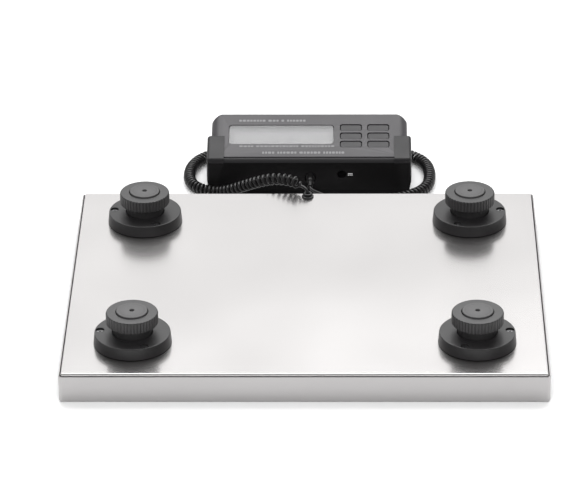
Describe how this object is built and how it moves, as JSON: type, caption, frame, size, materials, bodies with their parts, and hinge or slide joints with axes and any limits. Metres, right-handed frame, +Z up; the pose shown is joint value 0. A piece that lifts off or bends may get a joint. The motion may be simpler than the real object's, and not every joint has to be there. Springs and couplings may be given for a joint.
{
  "type": "animal weighing scale",
  "caption": "Low stainless platform scale resting on its pan with four knurled levelling feet up, and a cradled display unit on a curly cord.",
  "frame": {"origin": "middle of the weighing pan's face, which lies on the floor", "axes": "+X to the right, +Y to the rear where the display unit lies, +Z up, the way the feet point"},
  "size_m": [0.52, 0.5948, 0.0721],
  "materials": {
    "pan_steel": "satin brushed stainless sheet",
    "zinc_steel": "zinc-plated, dull",
    "dark_screw": "black oxide",
    "cell_aluminium": "machined, clear anodised",
    "black_plastic": "fine satin grain",
    "grey_plastic": "fine satin grain",
    "pad_rubber": "matt",
    "cord_sheath": "smooth, slightly glossy",
    "clear_window": "clear moulded plastic",
    "lcd": "grey-green liquid crystal glass, no digits lit",
    "board_green": "solder resist",
    "battery_wrap": "printed sleeve, plain"
  },
  "bodies": {
    "platform": {"weighing_pan": "pan_steel", "base_plate": "pan_steel", "frame_rail_left": "zinc_steel", "frame_rail_right": "zinc_steel", "cross_rail": "zinc_steel", "junction_board": "board_green", "cord_grommet": "black_plastic", "load_cell_front_left": "cell_aluminium", "load_cell_front_right": "cell_aluminium", "load_cell_rear_left": "cell_aluminium", "load_cell_rear_right": "cell_aluminium", "foot_flange_front_left": "black_plastic", "foot_flange_front_right": "black_plastic", "foot_flange_rear_left": "black_plastic", "foot_flange_rear_right": "black_plastic", "flange_screw_front_left_1": "dark_screw", "flange_screw_front_left_2": "dark_screw", "flange_screw_front_left_3": "dark_screw", "flange_screw_front_right_1": "dark_screw", "flange_screw_front_right_2": "dark_screw", "flange_screw_front_right_3": "dark_screw", "flange_screw_rear_left_1": "dark_screw", "flange_screw_rear_left_2": "dark_screw", "flange_screw_rear_left_3": "dark_screw", "flange_screw_rear_right_1": "dark_screw", "flange_screw_rear_right_2": "dark_screw", "flange_screw_rear_right_3": "dark_screw", "cord_platform_lead": "cord_sheath", "curly_cord": "cord_sheath", "cord_display_lead": "cord_sheath", "cord_plug": "cord_sheath", "display_cradle": "black_plastic"},
    "display_unit": {"rear_cover": "black_plastic", "front_cover": "grey_plastic", "display_window": "clear_window", "lcd_panel": "lcd", "key_mat": "pad_rubber", "main_board": "board_green", "battery_door": "black_plastic", "battery_pack": "battery_wrap", "data_socket": "black_plastic", "power_socket": "black_plastic"},
    "key_1": {"key_1": "grey_plastic"},
    "key_2": {"key_2": "grey_plastic"},
    "key_3": {"key_3": "grey_plastic"},
    "key_4": {"key_4": "grey_plastic"},
    "key_5": {"key_5": "grey_plastic"},
    "key_6": {"key_6": "grey_plastic"},
    "foot_pad_front_left": {"foot_pad_front_left": "pad_rubber"},
    "foot_wheel_front_left": {"foot_wheel_front_left": "black_plastic", "foot_stem_front_left": "zinc_steel"},
    "foot_pad_front_right": {"foot_pad_front_right": "pad_rubber"},
    "foot_wheel_front_right": {"foot_wheel_front_right": "black_plastic", "foot_stem_front_right": "zinc_steel"},
    "foot_pad_rear_left": {"foot_pad_rear_left": "pad_rubber"},
    "foot_wheel_rear_left": {"foot_wheel_rear_left": "black_plastic", "foot_stem_rear_left": "zinc_steel"},
    "foot_pad_rear_right": {"foot_pad_rear_right": "pad_rubber"},
    "foot_wheel_rear_right": {"foot_wheel_rear_right": "black_plastic", "foot_stem_rear_right": "zinc_steel"}
  },
  "joints": [
    {"name": "display_slide", "type": "slide", "parent": "platform", "child": "display_unit", "axis": [0, 0.9659, 0.2588], "range_m": [0, 0.048]},
    {"name": "key_1_press", "type": "slide", "parent": "display_unit", "child": "key_1", "axis": [0, 0.2588, -0.9659], "range_m": [0, 0.0008], "stiffness_N_per_m": 800, "springref_m": -0.001},
    {"name": "key_2_press", "type": "slide", "parent": "display_unit", "child": "key_2", "axis": [0, 0.2588, -0.9659], "range_m": [0, 0.0008], "stiffness_N_per_m": 800, "springref_m": -0.001},
    {"name": "key_3_press", "type": "slide", "parent": "display_unit", "child": "key_3", "axis": [0, 0.2588, -0.9659], "range_m": [0, 0.0008], "stiffness_N_per_m": 800, "springref_m": -0.001},
    {"name": "key_4_press", "type": "slide", "parent": "display_unit", "child": "key_4", "axis": [0, 0.2588, -0.9659], "range_m": [0, 0.0008], "stiffness_N_per_m": 800, "springref_m": -0.001},
    {"name": "key_5_press", "type": "slide", "parent": "display_unit", "child": "key_5", "axis": [0, 0.2588, -0.9659], "range_m": [0, 0.0008], "stiffness_N_per_m": 800, "springref_m": -0.001},
    {"name": "key_6_press", "type": "slide", "parent": "display_unit", "child": "key_6", "axis": [0, 0.2588, -0.9659], "range_m": [0, 0.0008], "stiffness_N_per_m": 800, "springref_m": -0.001},
    {"name": "foot_lift_front_left", "type": "slide", "parent": "platform", "child": "foot_pad_front_left", "axis": [0, 0, 1], "range_m": [-0.006, 0.003]},
    {"name": "foot_turn_front_left", "type": "hinge", "parent": "foot_pad_front_left", "child": "foot_wheel_front_left", "pos_m": [-0.1843, -0.1414, 0.0648], "axis": [0, 0, 1], "range_deg": [-720, 360]},
    {"name": "foot_lift_front_right", "type": "slide", "parent": "platform", "child": "foot_pad_front_right", "axis": [0, 0, 1], "range_m": [-0.006, 0.003]},
    {"name": "foot_turn_front_right", "type": "hinge", "parent": "foot_pad_front_right", "child": "foot_wheel_front_right", "pos_m": [0.1843, -0.1414, 0.0648], "axis": [0, 0, 1], "range_deg": [-720, 360]},
    {"name": "foot_lift_rear_left", "type": "slide", "parent": "platform", "child": "foot_pad_rear_left", "axis": [0, 0, 1], "range_m": [-0.006, 0.003]},
    {"name": "foot_turn_rear_left", "type": "hinge", "parent": "foot_pad_rear_left", "child": "foot_wheel_rear_left", "pos_m": [-0.1843, 0.1414, 0.0648], "axis": [0, 0, 1], "range_deg": [-720, 360]},
    {"name": "foot_lift_rear_right", "type": "slide", "parent": "platform", "child": "foot_pad_rear_right", "axis": [0, 0, 1], "range_m": [-0.006, 0.003]},
    {"name": "foot_turn_rear_right", "type": "hinge", "parent": "foot_pad_rear_right", "child": "foot_wheel_rear_right", "pos_m": [0.1843, 0.1414, 0.0648], "axis": [0, 0, 1], "range_deg": [-720, 360]}
  ],
  "couplings": [
    {"joint": "foot_turn_front_left", "follows": "foot_lift_front_left", "rad_per_m": 2094.4},
    {"joint": "foot_turn_front_right", "follows": "foot_lift_front_right", "rad_per_m": 2094.4},
    {"joint": "foot_turn_rear_left", "follows": "foot_lift_rear_left", "rad_per_m": 2094.4},
    {"joint": "foot_turn_rear_right", "follows": "foot_lift_rear_right", "rad_per_m": 2094.4}
  ]
}
